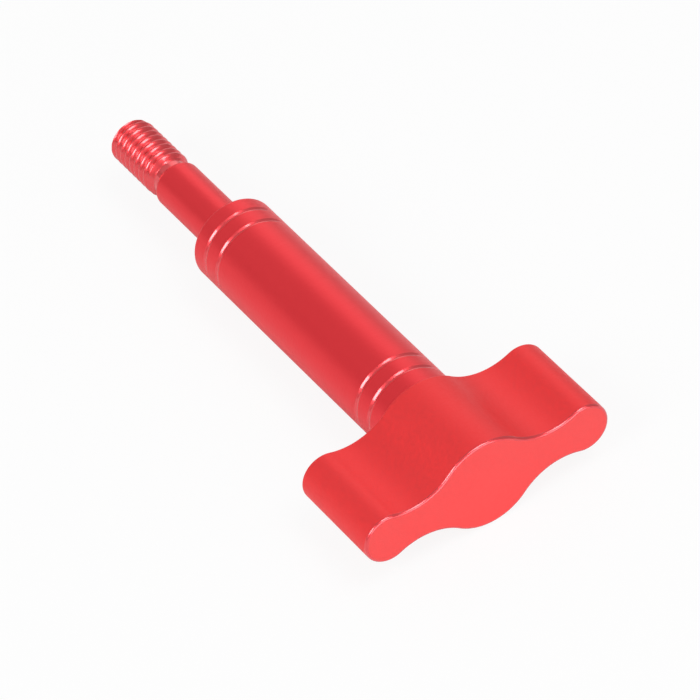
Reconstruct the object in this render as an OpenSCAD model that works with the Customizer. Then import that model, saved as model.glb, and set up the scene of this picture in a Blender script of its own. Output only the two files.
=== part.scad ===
// T-handle knob of red anodised aluminium: a three-lobed handle, cut from an extruded bar,
// on a turned stem that ends in a plain shank and a right-hand thread.
//
// Each piece is drawn upright first: z = 0 is the handle's flat end face, +z runs along the stem
// to the tip of the thread, and x lies along the handle. at_rest() then lays the knob on its side.
// Lying, the stem points along +Y, and the knob rests on the crown of the handle's boss, at z = 0.
// The origin is on that plane, below the middle of the knob's length. Sizes are in millimetres.

/* [Handle] */
// Distance between the centres of the two end lobes
lobe_spacing = 35; // [30:0.5:70]
// Diameter of each end lobe
lobe_d = 8.3; // [7.4:0.1:11]
// Thickness of the middle boss, which is the handle's greatest thickness
boss_t = 15.7; // [15:0.1:18]
// Distance beyond the stem's axis of the centre of each crown's arc, which makes the boss a little flat
crown_shift = 1.2; // [0.1:0.1:2]
// Least thickness of the handle, at the waists between boss and lobes
waist_t = 6.44; // [4:0.02:7]
// Length of the handle along the stem
handle_len = 18; // [15:0.5:26]
// Width of the bevel round both end faces of the handle
handle_bevel = 0.3; // [0.1:0.05:0.6]

/* [Stem body] */
// Diameter of the stem's body
body_d = 14.5; // [11:0.1:14.8]
// Length of the stem's body, from the handle to the shoulder
body_len = 54.5; // [30:0.5:90]
// Width of the edge break at the shoulder
shoulder_bevel = 0.5; // [0.1:0.05:0.8]

/* [Ring grooves] */
// Width of each ring groove
groove_w = 0.95; // [0.6:0.05:1.4]
// Depth of each ring groove
groove_depth = 0.15; // [0.1:0.05:0.3]
// Distance between the two grooves of a pair
groove_pitch = 3.5; // [2:0.1:5]
// Distance from the handle to the first groove
groove_from_handle = 3.7; // [2:0.05:7]
// Distance from the shoulder to the last groove
groove_from_shoulder = 3.45; // [2:0.05:6]

/* [Shank and thread] */
// Diameter of the plain shank
shank_d = 7.95; // [6.5:0.05:10]
// Length of the plain shank at full diameter, from the shoulder
shank_len = 16.9; // [8:0.1:40]
// Outer diameter of the thread
thread_d = 7.85; // [6.5:0.05:10]
// Length of the thread at full diameter
thread_len = 11.1; // [6:0.1:30]
// Diameter of the relief between shank and thread
relief_d = 6.3; // [5:0.05:6.4]
// Length of the relief at its bottom
relief_len = 1.2; // [0.5:0.1:5]
// Width of the chamfer at the thread's tip
tip_chamfer = 0.5; // [0.3:0.05:1.2]

/* [Joint of stem and handle] */
// Diameter of the stem's spigot inside the handle
spigot_d = 8; // [6:0.1:10]
// Length of the spigot
spigot_len = 11; // [6:0.5:12]
// Gap round the spigot, filled with thread locker
spigot_clearance = 0.05; // [0.02:0.01:0.15]
// Room between the spigot's end and the bottom of its bore
bore_run_out = 0.5; // [0.2:0.1:1]
// Angle of the drill point at the bottom of the bore
drill_point = 118; // [90:1:135]

/* [Hidden] */
$fn = 96;

handle_colour = "#e03c3d";
stem_colour = "#d0373e";

// Cuts run this far past the faces that they leave through
over = 1;
// The waists bite this far into the crowns and lobes, so that the arcs cross and don't only touch
blend = 0.01;

half_boss = boss_t / 2;
lobe_r = lobe_d / 2;
lobe_x = lobe_spacing / 2;
body_r = body_d / 2;
shank_r = shank_d / 2;
thread_r = thread_d / 2;
relief_r = relief_d / 2;
spigot_r = spigot_d / 2;
bore_r = spigot_r + spigot_clearance;
bore_len = spigot_len + bore_run_out;
drill_point_len = bore_r / tan(drill_point / 2);

// Radius of the two crowns of the boss
crown_r = half_boss + crown_shift;

// Each waist is an arc that touches a crown and a lobe from outside and leaves waist_t of metal.
// Touching both puts its centre at x = waist_shift + waist_slope * radius, and leaving waist_t of
// metal puts it at y = radius + half_waist. Together these give a quadratic equation for its radius.
half_waist = waist_t / 2;
waist_slope = (half_boss - lobe_r) / lobe_x;
crown_rise = pow(crown_r, 2) - pow(half_waist + crown_shift, 2);
lobe_rise = pow(lobe_r, 2) - pow(half_waist, 2);
waist_shift = (pow(lobe_x, 2) + crown_rise - lobe_rise) / (2 * lobe_x);
square_term = pow(waist_slope, 2);
half_linear_term = half_boss - half_waist - waist_shift * waist_slope;
constant_term = pow(waist_shift, 2) - crown_rise;
waist_r = (half_linear_term - sqrt(pow(half_linear_term, 2) - square_term * constant_term)) / square_term;
waist_x = waist_shift + waist_slope * waist_r;
waist_y = waist_r + half_waist;

// Heights along the stem, each the end of one stretch
shoulder_z = handle_len + body_len;
shank_z = shoulder_z + shank_len;
relief_z = shank_z + shank_r - relief_r;
relief_end_z = relief_z + relief_len;
thread_z = relief_end_z + thread_r - relief_r;
chamfer_z = thread_z + thread_len;
tip_z = chamfer_z + tip_chamfer;

groove_heights = [
    handle_len + groove_from_handle,
    handle_len + groove_from_handle + groove_pitch,
    shoulder_z - groove_from_shoulder - groove_pitch,
    shoulder_z - groove_from_shoulder
];
// Radius of the round-nosed tool that cuts a groove of this width and depth
groove_tool_r = (groove_w * groove_w / 4 + groove_depth * groove_depth) / (2 * groove_depth);

// Lays an upright piece on its side, as the knob comes to rest
module at_rest() {
    translate([0, -tip_z / 2, half_boss])
        rotate([-90, 0, 0])
            children();
}

// A round bar of the handle's length with a bevel at both ends
module bevelled_bar(r) {
    rotate_extrude()
        polygon([
            [0, 0],
            [r - handle_bevel, 0],
            [r, handle_bevel],
            [r, handle_len - handle_bevel],
            [r - handle_bevel, handle_len],
            [0, handle_len]
        ]);
}

// The cutter that hollows one waist, flared so that it leaves the same bevel at both end faces
module waist_cutter() {
    r = waist_r + blend;
    flare = handle_bevel + over;
    rotate_extrude()
        polygon([
            [0, -over],
            [r + flare, -over],
            [r, handle_bevel],
            [r, handle_len - handle_bevel],
            [r + flare, handle_len + over],
            [0, handle_len + over]
        ]);
}

// Middle of the handle: what two bars share, one for each crown
module boss() {
    intersection() {
        translate([0, crown_shift, 0])
            bevelled_bar(crown_r);
        translate([0, -crown_shift, 0])
            bevelled_bar(crown_r);
    }
}

// The web of the +x wing, up to the points where the waists touch the crowns and the lobe
module wing_web() {
    crown = [0, -crown_shift];
    lobe = [lobe_x, 0];
    waist = [waist_x, waist_y];
    crown_touch = crown + (waist - crown) * (crown_r - blend / 2) / (crown_r + waist_r);
    lobe_touch = lobe + (waist - lobe) * (lobe_r - blend / 2) / (lobe_r + waist_r);
    // The web starts where the line from the crown's centre to the touching point crosses y = 0
    inner_x = crown_touch[0] * crown_shift / (crown_touch[1] + crown_shift);
    linear_extrude(handle_len)
        polygon([
            [inner_x, 0],
            crown_touch,
            lobe_touch,
            lobe,
            [lobe_touch[0], -lobe_touch[1]],
            [crown_touch[0], -crown_touch[1]]
        ]);
}

// Blind bore in the handle's back face for the stem's spigot, with the drill's point at its bottom
module spigot_bore() {
    translate([0, 0, handle_len - bore_len]) {
        cylinder(r = bore_r, h = bore_len + over);
        translate([0, 0, -drill_point_len])
            cylinder(r1 = 0, r2 = bore_r, h = drill_point_len);
    }
}

// Three-lobed bar: boss, two end lobes and the hollow waists between them
module handle() {
    color(handle_colour)
        at_rest()
            difference() {
                union() {
                    boss();
                    for (side = [0, 180])
                        rotate([0, 0, side]) {
                            translate([lobe_x, 0, 0])
                                bevelled_bar(lobe_r);
                            wing_web();
                        }
                }
                for (side_x = [-1, 1], side_y = [-1, 1])
                    translate([side_x * waist_x, side_y * waist_y, 0])
                        waist_cutter();
                spigot_bore();
            }
}

// Turned stem: spigot, grooved body, plain shank, relief and thread at its outer diameter
module stem() {
    color(stem_colour)
        at_rest()
            rotate_extrude()
                difference() {
                    polygon([
                        [0, handle_len - spigot_len],
                        [spigot_r, handle_len - spigot_len],
                        [spigot_r, handle_len],
                        [body_r, handle_len],
                        [body_r, shoulder_z - shoulder_bevel],
                        [body_r - shoulder_bevel, shoulder_z],
                        [shank_r, shoulder_z],
                        [shank_r, shank_z],
                        [relief_r, relief_z],
                        [relief_r, relief_end_z],
                        [thread_r, thread_z],
                        [thread_r, chamfer_z],
                        [thread_r - tip_chamfer, tip_z],
                        [0, tip_z]
                    ]);
                    for (z = groove_heights)
                        translate([body_r + groove_tool_r - groove_depth, z])
                            circle(r = groove_tool_r);
                }
}

handle();
stem();
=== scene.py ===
# %% [markdown]
# T-handle knob of red anodised aluminium.
# A knob like this clamps a part by hand: the handle is turned, and the thread at the far end of
# the stem pulls the shoulder down on the part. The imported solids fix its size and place, and this
# lesson dresses them: smooth edges, a true helical thread, finishes, a studio and a camera.

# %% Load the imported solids
import math

import bmesh
import bpy
from mathutils import Matrix, Vector


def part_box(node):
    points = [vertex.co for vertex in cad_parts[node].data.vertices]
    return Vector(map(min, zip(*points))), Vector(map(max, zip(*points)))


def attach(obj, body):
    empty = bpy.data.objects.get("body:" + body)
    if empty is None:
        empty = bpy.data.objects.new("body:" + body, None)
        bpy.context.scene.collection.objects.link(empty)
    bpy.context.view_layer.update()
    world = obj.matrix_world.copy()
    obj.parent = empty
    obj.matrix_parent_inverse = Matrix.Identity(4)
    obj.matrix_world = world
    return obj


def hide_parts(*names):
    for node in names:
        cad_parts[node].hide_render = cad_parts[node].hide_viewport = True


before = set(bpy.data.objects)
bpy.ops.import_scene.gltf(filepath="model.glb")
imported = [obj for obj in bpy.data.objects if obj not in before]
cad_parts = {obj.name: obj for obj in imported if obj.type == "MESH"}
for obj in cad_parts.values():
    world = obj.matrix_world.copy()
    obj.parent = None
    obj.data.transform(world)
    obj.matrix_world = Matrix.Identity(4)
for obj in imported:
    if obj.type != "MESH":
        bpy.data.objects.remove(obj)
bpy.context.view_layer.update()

# %% [markdown]
# Both pieces are drawn round the stem's axis, which lies along Y. The solids' own boxes say where
# that axis is and where each piece starts and ends, so nothing has to be fitted by eye.
# Sizes are kept in millimetres, as on a drawing, and one factor turns them into Blender's metres.

# %% Places along the stem
MM = 0.001
handle_low, handle_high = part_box("handle")
stem_low, stem_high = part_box("stem")
axis_height = (handle_low.z + handle_high.z) / 2 / MM
end_face_y = handle_low.y / MM
back_face_y = handle_high.y / MM
tip_y = stem_high.y / MM
print("axis height", round(axis_height, 3), "end face", round(end_face_y, 3), "tip", round(tip_y, 3))


# %% [markdown]
# Finishes come before shapes, because each face names its finish when it is made.
# Colours are written as sRGB hex values, the way a paint chart gives them, but a shader works in
# linear light, so one function converts them. A second function adds a node, its settings and its
# links in one call, which keeps each material readable as a short list.

# %% Helpers for finishes
NOISE_LOW = 0.3  # a noise node stays mostly between these two values
NOISE_HIGH = 0.7


def linear(hex_colour):
    """An sRGB hex colour as the linear RGBA that a shader expects."""
    channels = [int(hex_colour[i:i + 2], 16) / 255 for i in (1, 3, 5)]
    return [c / 12.92 if c <= 0.04045 else ((c + 0.055) / 1.055) ** 2.4 for c in channels] + [1.0]


def noise_scale(size_mm):
    """The scale that gives a noise features of about this size."""
    return 1 / (2 * size_mm * MM)


def add_node(tree, kind, settings=None, inputs=None):
    """Adds one node, with its settings, and its inputs as values or as sockets to link from."""
    made = tree.nodes.new(kind)
    for name, value in (settings or {}).items():
        setattr(made, name, value)
    for name, value in (inputs or {}).items():
        if isinstance(value, bpy.types.NodeSocket):
            tree.links.new(value, made.inputs[name])
        else:
            made.inputs[name].default_value = value
    return made


def new_finish(name):
    """An empty node material with its output node."""
    material = bpy.data.materials.new(name)
    material.use_nodes = True
    material.node_tree.nodes.clear()
    output = add_node(material.node_tree, "ShaderNodeOutputMaterial")
    return material, material.node_tree, output


print("mid grey #808080 in linear light:", round(linear("#808080")[0], 3))

# %% [markdown]
# Satin anodised aluminium, bead-blasted: the handle. Blasting leaves tiny dents that spread every
# reflection, and the anodic film on top is clear oxide with red dye below its surface. So the eye
# sees two things at once: a broad red glow from the metal, and a weaker white sheen from the film.
# A rough metal in the dye's colour gives the first, and a clear coat gives the second, with the
# refraction of aluminium oxide, 1.7. The two end faces were milled flat after the bar was sawn, so
# they have a slightly smoother copy of the same finish, and its colour is painted paler: a painted
# highlight for the brighter sheen that the end face takes from the lamps. Real grit marks are about
# 0.05 mm, too fine to show here, so they are drawn 0.28 mm wide and very shallow.

# %% Finish of the handle
OXIDE_IOR = 1.7
GRIT = 0.28
DENT_DEPTH = 0.05
HANDLE_DENTS = 0.5
HANDLE_CLOUD = 9.0
HANDLE_SPREAD = 0.045


def blasted_red(name, deep, light, roughness, film, film_roughness):
    """Bead-blasted aluminium with a red dyed anodic film."""
    material, tree, output = new_finish(name)
    place = add_node(tree, "ShaderNodeTexCoord").outputs["Object"]
    cloud = add_node(tree, "ShaderNodeTexNoise", {}, {"Vector": place, "Scale": noise_scale(HANDLE_CLOUD)})
    grit = add_node(tree, "ShaderNodeTexNoise", {}, {"Vector": place, "Scale": noise_scale(GRIT)})
    dye = add_node(tree, "ShaderNodeMix", {"data_type": "RGBA"}, {
        0: cloud.outputs["Fac"],
        6: linear(deep),
        7: linear(light),
    })
    spread = add_node(tree, "ShaderNodeMapRange", {}, {
        "Value": grit.outputs["Fac"],
        "From Min": NOISE_LOW,
        "From Max": NOISE_HIGH,
        "To Min": roughness - HANDLE_SPREAD,
        "To Max": roughness + HANDLE_SPREAD,
    })
    dents = add_node(tree, "ShaderNodeBump", {}, {
        "Strength": HANDLE_DENTS,
        "Distance": DENT_DEPTH * MM,
        "Height": grit.outputs["Fac"],
    })
    shader = add_node(tree, "ShaderNodeBsdfPrincipled", {}, {
        "Base Color": dye.outputs[2],
        "Metallic": 1.0,
        "Roughness": spread.outputs["Result"],
        "Normal": dents.outputs["Normal"],
        "Coat Weight": film,
        "Coat Roughness": film_roughness,
        "Coat IOR": OXIDE_IOR,
        "Coat Normal": dents.outputs["Normal"],
    })
    tree.links.new(shader.outputs["BSDF"], output.inputs["Surface"])
    return material


handle_satin = blasted_red(
    "Satin red anodised aluminium, blasted", "#f83d3f", "#fb4345",
    roughness=0.56, film=0.25, film_roughness=0.42,
)
# The end faces' colours are painted paler than the sides': a painted highlight for the light the end face
# catches.
faced_painted_lighter_satin = blasted_red(
    "Satin red anodised aluminium, faced, painted lighter", "#fe5656", "#ff5a5a",
    roughness=0.5, film=0.25, film_roughness=0.42,
)
print("finishes:", handle_satin.name, "and", faced_painted_lighter_satin.name)

# %% [markdown]
# Satin anodised aluminium, turned: the stem's body and shank. The lathe leaves faint rings round
# the axis, which the satin etch softens but doesn't remove. The dye took a little bluer here than
# on the handle. Real feed marks are about 0.1 mm apart, so they are drawn 0.3 mm apart to show.
# The grooves, the thread and the handle's front edge were cut by a sharp tool after the etch. Their
# metal is smoother, and the film over it mirrors a lamp as a thin white line: the bright-cut finish.

# %% Finish of the stem
FEED_MARK = 0.15
FEED_MARK_DEPTH = 0.03
STEM_CLOUD = 12.0
STEM_SPREAD = 0.03


def turned_red(name, deep, light, roughness, film, film_roughness, dent_strength, mark_strength):
    """Turned aluminium with a red dyed anodic film, and feed marks round the Y axis."""
    material, tree, output = new_finish(name)
    place = add_node(tree, "ShaderNodeTexCoord").outputs["Object"]
    along = add_node(tree, "ShaderNodeSeparateXYZ", {}, {"Vector": place}).outputs["Y"]
    marks = add_node(tree, "ShaderNodeTexNoise", {"noise_dimensions": "1D"}, {
        "W": along,
        "Scale": noise_scale(FEED_MARK),
        "Detail": 1.0,
    })
    grit = add_node(tree, "ShaderNodeTexNoise", {}, {"Vector": place, "Scale": noise_scale(GRIT)})
    cloud = add_node(tree, "ShaderNodeTexNoise", {}, {"Vector": place, "Scale": noise_scale(STEM_CLOUD)})
    dye = add_node(tree, "ShaderNodeMix", {"data_type": "RGBA"}, {
        0: cloud.outputs["Fac"],
        6: linear(deep),
        7: linear(light),
    })
    spread = add_node(tree, "ShaderNodeMapRange", {}, {
        "Value": marks.outputs["Fac"],
        "From Min": NOISE_LOW,
        "From Max": NOISE_HIGH,
        "To Min": roughness - STEM_SPREAD,
        "To Max": roughness + STEM_SPREAD,
    })
    dents = add_node(tree, "ShaderNodeBump", {}, {
        "Strength": dent_strength,
        "Distance": DENT_DEPTH * MM,
        "Height": grit.outputs["Fac"],
    })
    rings = add_node(tree, "ShaderNodeBump", {}, {
        "Strength": mark_strength,
        "Distance": FEED_MARK_DEPTH * MM,
        "Height": marks.outputs["Fac"],
        "Normal": dents.outputs["Normal"],
    })
    shader = add_node(tree, "ShaderNodeBsdfPrincipled", {}, {
        "Base Color": dye.outputs[2],
        "Metallic": 1.0,
        "Roughness": spread.outputs["Result"],
        "Normal": rings.outputs["Normal"],
        "Coat Weight": film,
        "Coat Roughness": film_roughness,
        "Coat IOR": OXIDE_IOR,
        "Coat Normal": rings.outputs["Normal"],
    })
    tree.links.new(shader.outputs["BSDF"], output.inputs["Surface"])
    return material


stem_satin = turned_red(
    "Satin red anodised aluminium, turned", "#f63840", "#f83c44",
    roughness=0.45, film=0.2, film_roughness=0.32, dent_strength=0.4, mark_strength=0.05,
)
bright_cut = turned_red(
    "Bright-cut red anodised aluminium", "#f43c44", "#f64048",
    roughness=0.32, film=1.0, film_roughness=0.12, dent_strength=0.08, mark_strength=0.04,
)
print("finishes:", stem_satin.name, "and", bright_cut.name)

# %% [markdown]
# The handle is cut from an extruded bar, so its shape is one outline with the same section along
# Y. The outline is made of arcs that touch: a crown above and below the stem, a round lobe at each
# end, and a hollow waist between. Arcs that touch can all be moved inwards by the same amount just
# by changing their radii, and that gives the rounded edge: each ring of the edge is the outline
# once more, a little further in. Blender's Bevel could round the edge too, but the rings give exact
# control of how wide it is on the hollow and the round stretches.

# %% Outline of the handle
LOBE_SPACING = 35.0
CROWN_SHIFT = 1.2
WAIST_T = 6.44
ARC_STEP = math.radians(2)
half_boss = (handle_high.z - handle_low.z) / 2 / MM
lobe_x = LOBE_SPACING / 2
lobe_r = handle_high.x / MM - lobe_x
crown_r = half_boss + CROWN_SHIFT


def waist_arc():
    """Centre and radius of the hollow that touches a crown and a lobe and leaves the waist's thickness."""
    slope = (half_boss - lobe_r) / lobe_x
    crown_rise = crown_r ** 2 - (WAIST_T / 2 + CROWN_SHIFT) ** 2
    lobe_rise = lobe_r ** 2 - (WAIST_T / 2) ** 2
    shift = (lobe_x ** 2 + crown_rise - lobe_rise) / (2 * lobe_x)
    half_linear = half_boss - WAIST_T / 2 - shift * slope
    root = math.sqrt(half_linear ** 2 - slope ** 2 * (shift ** 2 - crown_rise))
    radius = (half_linear - root) / slope ** 2
    return Vector((shift + slope * radius, radius + WAIST_T / 2)), radius


def arc(centre, radius, start, end):
    """Points on an arc, both ends included."""
    count = max(2, math.ceil(abs(end - start) / ARC_STEP))
    turns = [start + (end - start) * i / count for i in range(count + 1)]
    return [(centre[0] + radius * math.cos(t), centre[1] + radius * math.sin(t)) for t in turns]


def handle_outline(inset):
    """The closed outline across the handle, x and height above the axis, moved inwards by inset."""
    waist, waist_r = waist_arc()
    lobe_end = math.atan2(waist.y, waist.x - lobe_x)
    crown_start = math.atan2(waist.y + CROWN_SHIFT, waist.x)
    quarter = arc((lobe_x, 0), lobe_r - inset, 0, lobe_end)
    quarter += arc(waist, waist_r + inset, lobe_end - math.pi, crown_start - math.pi)[1:]
    quarter += arc((0, -CROWN_SHIFT), crown_r - inset, crown_start, math.pi / 2)[1:]
    left = [(-x, h) for x, h in reversed(quarter)][1:]
    upper = quarter + left
    lower = [(x, -h) for x, h in reversed(upper)][1:-1]
    return upper + lower


print("waist arc radius in mm:", round(waist_arc()[1], 3), "points round:", len(handle_outline(0)))

# %% [markdown]
# Rings of points become a skin when each ring is joined to the next by quads. A flat end is one
# face across the last ring. Smooth shading bends the light of a long face towards the rounded edge
# beside it, so a support ring follows each rounding closely, and the face beyond it stays straight.
# The same functions serve the handle, the turned stem and the floor.

# %% Skins from rings
SUPPORT = 0.06
LONG_STRETCH = 5 * SUPPORT


def put(points, y):
    """Places points across the axis, x and height, at y along it, in metres."""
    return [Vector((x, y, axis_height + h)) * MM for x, h in points]


def circle(radius, segments):
    """Points round a middle, evenly spaced."""
    turns = [2 * math.pi * i / segments for i in range(segments)]
    return [(radius * math.sin(t), radius * math.cos(t)) for t in turns]


def skin(builder, rings, finishes):
    """Joins each ring of vertices to the next, and gives each band of faces its finish."""
    made = [[builder.verts.new(p) for p in ring] for ring in rings]
    for first, second, finish in zip(made, made[1:], finishes):
        for i in range(len(first)):
            j = (i + 1) % len(first)
            face = builder.faces.new((first[i], first[j], second[j], second[i]))
            face.material_index = finish
    return made


def loop_edges(builder, loop):
    """The edges round one closed ring of vertices."""
    return [builder.edges.get((loop[i], loop[(i + 1) % len(loop)])) for i in range(len(loop))]


def finished(name, builder, materials, sharp_deg):
    """Turns a builder into an object with outward faces and smooth shading but crisp corners."""
    bmesh.ops.recalc_face_normals(builder, faces=builder.faces)
    mesh = bpy.data.meshes.new(name)
    builder.to_mesh(mesh)
    builder.free()
    mesh.polygons.foreach_set("use_smooth", [True] * len(mesh.polygons))
    mesh.set_sharp_from_angle(angle=math.radians(sharp_deg))
    for material in materials:
        mesh.materials.append(material)
    made = bpy.data.objects.new(name, mesh)
    bpy.context.scene.collection.objects.link(made)
    return made


print("support rings stand", SUPPORT, "mm from each rounding")

# %% [markdown]
# Now the handle itself: blasted sides, two faced ends, and a front edge that was broken by a cutter
# after blasting, so it is brighter than both. The solid's edges have a flat chamfer of 0.3 mm. A
# rounding of 0.45 mm takes about as much off the corner, and catches a soft line of light, as a real
# broken edge does. The back face has the blind bore that takes the stem's spigot. Nobody sees it
# once the knob is put together, but a copy of the handle alone should be a true handle.

# %% Handle
HANDLE_EDGE = 0.45
EDGE_STEPS = 6
BORE_R = 4.05
BORE_LEN = 11.5
DRILL_POINT_LEN = BORE_R / math.tan(math.radians(118 / 2))
ROUND = 160
SATIN = 0
BRIGHT = 1
FACED_PAINTED_LIGHTER = 2


def handle_rings():
    """Inset and place of each ring from the end face to the back face, and the finish of each band."""
    turns = [math.pi / 2 * i / EDGE_STEPS for i in range(EDGE_STEPS + 1)]
    edge = [(HANDLE_EDGE * (1 - math.sin(t)), HANDLE_EDGE * (1 - math.cos(t))) for t in turns]
    end = [(HANDLE_EDGE + SUPPORT, 0.0)] + edge + [(0.0, HANDLE_EDGE + SUPPORT)]
    rings = [(inset, end_face_y + depth) for inset, depth in end]
    rings += [(inset, back_face_y - depth) for inset, depth in reversed(end)]
    sides_and_back_edge = 3 + EDGE_STEPS
    # The end and back faces take the finish whose colour is painted paler, as painted light.
    bands = [FACED_PAINTED_LIGHTER] + [BRIGHT] * EDGE_STEPS + [SATIN] * sides_and_back_edge + [FACED_PAINTED_LIGHTER]
    return rings, bands


builder = bmesh.new()
rings, bands = handle_rings()
made = skin(builder, [put(handle_outline(inset), y) for inset, y in rings], bands)
builder.faces.new(made[0]).material_index = FACED_PAINTED_LIGHTER
bore_y = back_face_y - BORE_LEN
bore = skin(builder, [put(circle(BORE_R, ROUND), y) for y in (back_face_y, bore_y)], [BRIGHT])
point = builder.verts.new(Vector((0, bore_y - DRILL_POINT_LEN, axis_height)) * MM)
for i in range(ROUND):
    builder.faces.new((bore[1][i], bore[1][(i + 1) % ROUND], point)).material_index = BRIGHT
rims = loop_edges(builder, made[-1]) + loop_edges(builder, bore[0])
back_face = bmesh.ops.triangle_fill(builder, edges=rims, use_beauty=True)
for part in back_face["geom"]:
    if isinstance(part, bmesh.types.BMFace):
        part.material_index = FACED_PAINTED_LIGHTER
handle = finished("handle_piece", builder, [handle_satin, bright_cut, faced_painted_lighter_satin], sharp_deg=40)
print("handle faces:", len(handle.data.polygons))

# %% [markdown]
# The stem is turned on a lathe, so it is a profile spun round the axis. The profile is a list of
# corners, each with the radius that rounds it, like a turner's drawing. A ring groove is cut by a
# round-nosed tool. The solid's groove is one plain arc, 0.15 mm deep. Here its sides are straight
# and it is 0.05 mm deeper, because a straight side mirrors a lamp over its whole width, as the real
# grooves do. The tool's last pass ran up the side that faces the handle, so that side is brighter.

# %% Profile of the stem
SPIGOT_R = 4.0
SPIGOT_LEN = 11.0
BODY_R = 7.25
SEAT_EDGE_R = 0.05
GROOVES = (-30.2, -26.7, 13.65, 17.15)
GROOVE_W = 0.95
GROOVE_SLOPE = math.radians(27)
GROOVE_NOSE_R = 0.35
GROOVE_RIM_R = 0.02
SHOULDER_Y = 20.6
SHOULDER_EDGE_R = 0.5
SHANK_R = 3.975
SHANK_FILLET_R = 0.1
SHANK_END_Y = 37.5
SHANK_EDGE_R = 0.8
RELIEF_Y = 38.325
RELIEF_R = 3.15
RELIEF_FILLET_R = 0.25
THREAD_START_Y = 39.525
CORNER_STEPS = 5


def groove(y):
    """Corners of one groove: two rims, and a round bottom between its sloping sides."""
    low = BODY_R - GROOVE_W / 2 * math.tan(GROOVE_SLOPE)
    near_rim = (y - GROOVE_W / 2, BODY_R, GROOVE_RIM_R, SATIN)
    far_rim = (y + GROOVE_W / 2, BODY_R, GROOVE_RIM_R, SATIN)
    return [near_rim, (y, low, GROOVE_NOSE_R, BRIGHT), far_rim]


def stem_corners():
    """Corners from the spigot to the start of the thread: y, radius, rounding, finish after it."""
    corners = [(back_face_y - SPIGOT_LEN, SPIGOT_R, 0.0, BRIGHT)]
    corners.append((back_face_y, SPIGOT_R, 0.0, BRIGHT))
    corners.append((back_face_y, BODY_R, SEAT_EDGE_R, SATIN))
    for y in GROOVES:
        corners += groove(y)
    corners.append((SHOULDER_Y, BODY_R, SHOULDER_EDGE_R, SATIN))
    corners.append((SHOULDER_Y, SHANK_R, SHANK_FILLET_R, SATIN))
    corners.append((SHANK_END_Y, SHANK_R, SHANK_EDGE_R, SATIN))
    corners.append((RELIEF_Y, RELIEF_R, RELIEF_FILLET_R, BRIGHT))
    corners.append((THREAD_START_Y, RELIEF_R, 0.0, BRIGHT))
    return corners


def round_corner(before, corner, after, radius):
    """Points of the arc that rounds one corner of the profile, or the corner itself."""
    here = Vector(corner)
    if radius == 0:
        return [here]
    behind = (Vector(before) - here).normalized()
    ahead = (Vector(after) - here).normalized()
    half = behind.angle(ahead) / 2
    reach = radius / math.tan(half)
    centre = here + (behind + ahead).normalized() * radius / math.sin(half)
    first = here + behind * reach - centre
    swing = first.angle_signed(here + ahead * reach - centre)
    turns = [-swing * i / CORNER_STEPS for i in range(CORNER_STEPS + 1)]
    return [centre + Matrix.Rotation(turn, 2) @ first for turn in turns]


def with_supports(points, finishes):
    """Adds a point near both ends of each long straight stretch."""
    more_points, more_finishes = [], []
    for point, after, finish in zip(points, points[1:] + points[-1:], finishes):
        more_points.append(point)
        more_finishes.append(finish)
        if (after - point).length > LONG_STRETCH:
            step = (after - point).normalized() * SUPPORT
            more_points += [point + step, after - step]
            more_finishes += [finish, finish]
    return more_points, more_finishes


def stem_profile():
    """The rounded profile and the finish of each stretch, where a rounding has the finish after it."""
    corners = stem_corners()
    points, finishes = [], []
    for i, (y, r, radius, finish) in enumerate(corners):
        before = corners[max(i - 1, 0)][:2]
        after = corners[min(i + 1, len(corners) - 1)][:2]
        rounded = round_corner(before, (y, r), after, radius)
        points += rounded
        finishes += [finish] * len(rounded)
    return with_supports(points, finishes)


profile, stretches = stem_profile()
print("profile points:", len(profile), "greatest radius in mm:", round(max(p.y for p in profile), 3))

# %% [markdown]
# The thread follows a rule, so Geometry Nodes make it: a flat grid is wrapped round the axis, and
# every row is slid along by one pitch per turn, so each row keeps one radius and no crest is ever
# cut across. From crest to root the radius falls by a power of the distance. A power of 1 would be
# a plain V; a power above 1 leaves the crests round, as etching does, and the roots sharp, as the
# tool's point cut them. Two cones limit the radius: one where the tool runs out into the relief,
# and one for the chamfer at the tip. The thread is right-hand, 18 turns to the inch, and each size
# is an input of the tree, so that another pitch is one number away. The rule is a list of steps,
# each with a name, an operation and its terms, and a loop makes a Math node of each.

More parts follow.
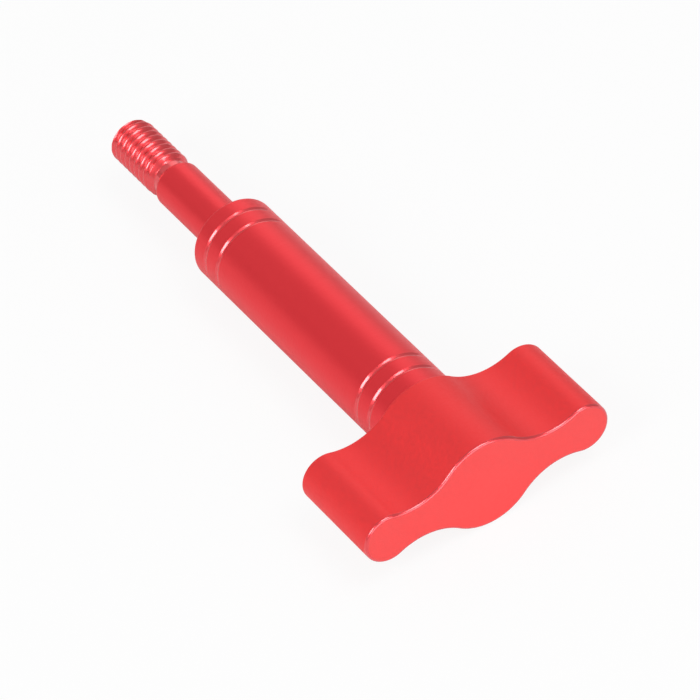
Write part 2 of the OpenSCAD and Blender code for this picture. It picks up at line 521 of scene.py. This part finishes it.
# %% Tree that cuts a thread
THREAD_INPUTS = {
    "NodeSocketFloat": (
        "Outer radius", "Root radius", "Pitch", "Phase", "Start", "End", "Start radius",
        "Tip radius", "Tip slope", "Roundness", "Axis height", "Weld distance",
    ),
    "NodeSocketInt": ("Segments", "Steps", "Turns"),
    "NodeSocketMaterial": ("Finish",),
}
THREAD_RULE = (
    ("columns", "ADD", "Segments", 1.0),
    ("rows", "MULTIPLY_ADD", "Steps", "Turns", 1.0),
    ("around", "ADD", "X", 0.5),
    ("along", "ADD", "Y", 0.5),
    ("row turn", "MULTIPLY_ADD", "along", "Turns", -1.0),
    ("helix turn", "ADD", "row turn", "around"),
    ("turns from start", "SUBTRACT", "helix turn", "Phase"),
    ("slid", "MULTIPLY_ADD", "turns from start", "Pitch", "Start"),
    ("past start", "MAXIMUM", "slid", "Start"),
    ("y", "MINIMUM", "past start", "End"),
    ("tooth", "FRACT", "row turn"),
    ("sweep", "MULTIPLY_ADD", "tooth", 2.0, -1.0),
    ("from root", "ABSOLUTE", "sweep"),
    ("from crest", "SUBTRACT", 1.0, "from root"),
    ("fall", "POWER", "from crest", "Roundness"),
    ("depth", "SUBTRACT", "Root radius", "Outer radius"),
    ("flank", "MULTIPLY_ADD", "fall", "depth", "Outer radius"),
    ("run", "SUBTRACT", "y", "Start"),
    ("run-out cone", "ADD", "Start radius", "run"),
    ("to tip", "SUBTRACT", "End", "y"),
    ("tip cone", "MULTIPLY_ADD", "to tip", "Tip slope", "Tip radius"),
    ("inside run-out", "MINIMUM", "flank", "run-out cone"),
    ("radius", "MINIMUM", "inside run-out", "tip cone"),
    ("turn", "MULTIPLY", "around", 2 * math.pi),
    ("sine", "SINE", "turn"),
    ("cosine", "COSINE", "turn"),
    ("x", "MULTIPLY", "radius", "sine"),
    ("z", "MULTIPLY_ADD", "radius", "cosine", "Axis height"),
)


def thread_tree():
    """A node tree that makes a right-hand outside thread round the Y axis."""
    tree = bpy.data.node_groups.new("Outside thread", "GeometryNodeTree")
    for kind, names in THREAD_INPUTS.items():
        for name in names:
            tree.interface.new_socket(name, in_out="INPUT", socket_type=kind)
    tree.interface.new_socket("Geometry", in_out="OUTPUT", socket_type="NodeSocketGeometry")
    known = {socket.name: socket for socket in add_node(tree, "NodeGroupInput").outputs}
    position = add_node(tree, "GeometryNodeInputPosition").outputs[0]
    place = add_node(tree, "ShaderNodeSeparateXYZ", {}, {0: position})
    known.update({socket.name: socket for socket in place.outputs})
    for name, operation, *terms in THREAD_RULE:
        inputs = {i: known[term] if isinstance(term, str) else term for i, term in enumerate(terms)}
        known[name] = add_node(tree, "ShaderNodeMath", {"operation": operation}, inputs).outputs[0]
    grid = add_node(tree, "GeometryNodeMeshGrid", {}, {
        "Size X": 1.0,
        "Size Y": 1.0,
        "Vertices X": known["columns"],
        "Vertices Y": known["rows"],
    })
    wrapped = add_node(tree, "ShaderNodeCombineXYZ", {}, {
        "X": known["x"],
        "Y": known["y"],
        "Z": known["z"],
    })
    moved = add_node(tree, "GeometryNodeSetPosition", {}, {
        "Geometry": grid.outputs["Mesh"],
        "Position": wrapped.outputs[0],
    })
    welded = add_node(tree, "GeometryNodeMergeByDistance", {}, {
        0: moved.outputs[0],
        "Distance": known["Weld distance"],
    })
    real = add_node(tree, "GeometryNodeRealizeInstances", {}, {0: welded.outputs[0]})
    dressed = add_node(tree, "GeometryNodeSetMaterial", {}, {
        0: real.outputs[0],
        "Material": known["Finish"],
    })
    add_node(tree, "NodeGroupOutput", {}, {0: dressed.outputs[0]})
    return tree


print("thread rule:", len(THREAD_RULE), "steps")

# %% [markdown]
# The tree runs as a modifier on an empty mesh. Its inputs are set by their identifiers, and the
# evaluated result is copied to a plain mesh, so that nothing live is left on the piece.

# %% Cut the thread
TIP_GAP = 0.001  # keeps the last ring inside the solid's box when its place is rounded
THREAD_SIZES = {
    "Outer radius": 3.925 * MM,
    "Root radius": 3.3 * MM,
    "Pitch": 25.4 / 18 * MM,
    "Phase": 0.348,
    "Start": THREAD_START_Y * MM,
    "End": (tip_y - TIP_GAP) * MM,
    "Start radius": RELIEF_R * MM,
    "Tip radius": 3.19 * MM,
    "Tip slope": 1.47,
    "Roundness": 1.7,
    "Axis height": axis_height * MM,
    "Weld distance": 0.0005 * MM,
    "Segments": ROUND,
    "Steps": 24,
    "Turns": 11,
    "Finish": bright_cut,
}
blank = bpy.data.objects.new("thread_blank", bpy.data.meshes.new("thread_blank"))
bpy.context.scene.collection.objects.link(blank)
cutter = blank.modifiers.new("Outside thread", "NODES")
cutter.node_group = thread_tree()
for item in cutter.node_group.interface.items_tree:
    if item.in_out == "INPUT":
        cutter[item.identifier] = THREAD_SIZES[item.name]
evaluated = blank.evaluated_get(bpy.context.evaluated_depsgraph_get())
thread_mesh = bpy.data.meshes.new_from_object(evaluated)
bpy.data.objects.remove(blank)
print("thread faces:", len(thread_mesh.polygons))

# %% [markdown]
# The lathe profile is spun, the thread is welded to its last ring, and flat faces close both ends.
# Stem and thread are one turning on the real knob, so they are one piece here too.

# %% Stem
WELD = 0.0008
builder = bmesh.new()
builder.from_mesh(thread_mesh)
for face in builder.faces:
    face.material_index = BRIGHT
spun = skin(builder, [put(circle(p.y, ROUND), p.x) for p in profile], stretches)
builder.faces.new(spun[0]).material_index = BRIGHT
bmesh.ops.remove_doubles(builder, verts=builder.verts, dist=WELD * MM)
open_edges = [e for e in builder.edges if e.is_boundary]
tip = bmesh.ops.edgeloop_fill(builder, edges=open_edges, mat_nr=BRIGHT)
print("tip faces:", len(tip["faces"]), "open edges left:", sum(e.is_boundary for e in builder.edges))
stem = finished("stem_piece", builder, [stem_satin, bright_cut], sharp_deg=50)
print("stem faces:", len(stem.data.polygons))

# %% [markdown]
# Each piece now rides on the root body and stands for its solid, which is hidden.

# %% Tie the pieces to the solids
for piece, node, slot in ((handle, "handle", "handle_red"), (stem, "stem", "stem_red")):
    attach(piece, "root")
    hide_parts(node)
    print(piece.name, "stands for", node, "in", slot)

# %% [markdown]
# The studio is a pale floor that curves up into a low wall all round, so that no edge shows from any
# side. The camera sees it near white, because most of what the camera gets from it is an even glow.
# The rest is the paint itself, which takes the knob's shadow. Reflections get the pale paint with a
# little of that glow, so that the metal shows a bright floor and still keeps its darker bands.

# %% Floor
CAMERA_SHARE = 0.9
MIRROR_SHARE = 0.05
FLAT_M = (1.5, 1.7)
COVE_R_M = 0.3
COVE_TURNS = (0.4, 0.8, 1.2, 1.57)
WALL_TOP_M = 0.6
FLOOR_SIDES = 96
FLOOR_GAP_M = 0.00005


def pale_floor():
    """White matt paint, lifted towards pure white for the camera and a little for reflections."""
    material, tree, output = new_finish("White matt backdrop paint")
    paint = add_node(tree, "ShaderNodeBsdfDiffuse", {}, {"Color": linear("#d8d8d8")})
    glow = add_node(tree, "ShaderNodeEmission", {}, {"Color": (1, 1, 1, 1), "Strength": 1.0})
    ray = add_node(tree, "ShaderNodeLightPath").outputs
    mirrored = add_node(tree, "ShaderNodeMath", {"operation": "MAXIMUM"}, {
        0: ray["Is Glossy Ray"],
        1: ray["Is Transmission Ray"],
    })
    lift = add_node(tree, "ShaderNodeMath", {"operation": "MULTIPLY"}, {
        0: mirrored.outputs[0],
        1: MIRROR_SHARE,
    })
    share = add_node(tree, "ShaderNodeMath", {"operation": "MULTIPLY_ADD"}, {
        0: ray["Is Camera Ray"],
        1: CAMERA_SHARE,
        2: lift.outputs[0],
    })
    both = add_node(tree, "ShaderNodeMixShader", {}, {
        0: share.outputs[0],
        1: paint.outputs[0],
        2: glow.outputs[0],
    })
    tree.links.new(both.outputs[0], output.inputs["Surface"])
    return material


def floor_section():
    """Distance from the middle and height of each ring: flat, a quarter round, then the wall."""
    flat = [(distance, 0.0) for distance in FLAT_M]
    rise = [(FLAT_M[1] + COVE_R_M * math.sin(t), COVE_R_M * (1 - math.cos(t))) for t in COVE_TURNS]
    return flat + rise + [(FLAT_M[1] + COVE_R_M, WALL_TOP_M)]


builder = bmesh.new()
section = floor_section()
floor_rings = [[Vector((x, y, z - FLOOR_GAP_M)) for x, y in circle(r, FLOOR_SIDES)] for r, z in section]
made = skin(builder, floor_rings, [0] * len(section))
builder.faces.new(made[0])
floor = finished("floor", builder, [pale_floor()], sharp_deg=60)
floor.data.flip_normals()
print("floor reaches", round(max(v.co.x for v in floor.data.vertices), 2), "m")

# %% [markdown]
# Plain soft light: a grey surround and six soft boxes. Smooth metal shows its lamps, so each box
# stands where a bright line on the knob mirrors it. The left box is the main light and draws the
# stem's left band. The right box hangs almost overhead, for the stem's upper band and the handle's
# hump. A wide low box in front lights the end face. Three weak ones behind keep the far sides and
# the silhouettes from going dark. The power follows from a level and the box's area, so that a
# larger box at the same level is softer, and not brighter where it is mirrored.

# %% Lights
LAMP_DISTANCE_M = 1.2
SURROUND_LEVEL = 0.46


def soft_box(name, towards, width, height, level):
    """A soft box in this direction from the knob, turned to face it."""
    lamp = bpy.data.lights.new(name, "AREA")
    lamp.shape = "RECTANGLE"
    lamp.size = width
    lamp.size_y = height
    lamp.energy = level * math.pi * width * height
    made = bpy.data.objects.new(name, lamp)
    direction = Vector(towards).normalized()
    made.location = direction * LAMP_DISTANCE_M
    made.rotation_euler = direction.to_track_quat("Z", "Y").to_euler()
    made.visible_camera = False
    bpy.context.scene.collection.objects.link(made)
    return made


soft_box("left_box", (-0.75, -0.26, 0.61), width=0.52, height=0.58, level=7.0)
soft_box("right_box", (0.25, -0.38, 0.89), width=0.62, height=0.65, level=4.8)
soft_box("front_box", (0.03, -0.97, 0.23), width=1.4, height=0.55, level=2.6)
soft_box("back_right_box", (0.553, 0.708, 0.438), width=0.6, height=0.8, level=0.6)
soft_box("back_left_box", (-0.784, 0.612, 0.105), width=0.7, height=0.25, level=0.5)
soft_box("back_box", (0.1, 0.86, 0.5), width=1.6, height=1.0, level=0.2)
surround = bpy.data.worlds.new("Studio surround")
surround.use_nodes = True
surround.node_tree.nodes["Background"].inputs["Color"].default_value = (1, 1, 1, 1)
surround.node_tree.nodes["Background"].inputs["Strength"].default_value = SURROUND_LEVEL
bpy.context.scene.world = surround

# %% [markdown]
# The camera looks down along the knob from a little to the left of the end face, through a long
# lens from almost a metre away, and it is rolled a little, as the photograph is.

# %% Camera
AZIMUTH = math.radians(-24.708)
ELEVATION = math.radians(42.238)
ROLL = math.radians(11.612)
AIM = Vector((0.045, -13.458, 7.85)) * MM
DISTANCE = 928.469 * MM
SENSOR = 36.0
FOCAL_LENGTH = 314.229
lens = bpy.data.cameras.new("camera")
lens.sensor_width = SENSOR
lens.lens = FOCAL_LENGTH
lens.clip_start = 0.05
lens.clip_end = 20.0
camera = bpy.data.objects.new("camera", lens)
ground_share = math.cos(ELEVATION)
towards_camera = Vector((
    math.sin(AZIMUTH) * ground_share,
    -math.cos(AZIMUTH) * ground_share,
    math.sin(ELEVATION),
))
right = Vector((math.cos(AZIMUTH), math.sin(AZIMUTH), 0))
up = towards_camera.cross(right)
rolled_right = right * math.cos(ROLL) - up * math.sin(ROLL)
rolled_up = right * math.sin(ROLL) + up * math.cos(ROLL)
facing = Matrix((rolled_right, rolled_up, towards_camera)).transposed().to_4x4()
camera.matrix_world = Matrix.Translation(AIM + towards_camera * DISTANCE) @ facing
bpy.context.scene.collection.objects.link(camera)
bpy.context.scene.camera = camera
bpy.context.scene.view_settings.view_transform = "Standard"
print("camera at", [round(c, 3) for c in camera.location])
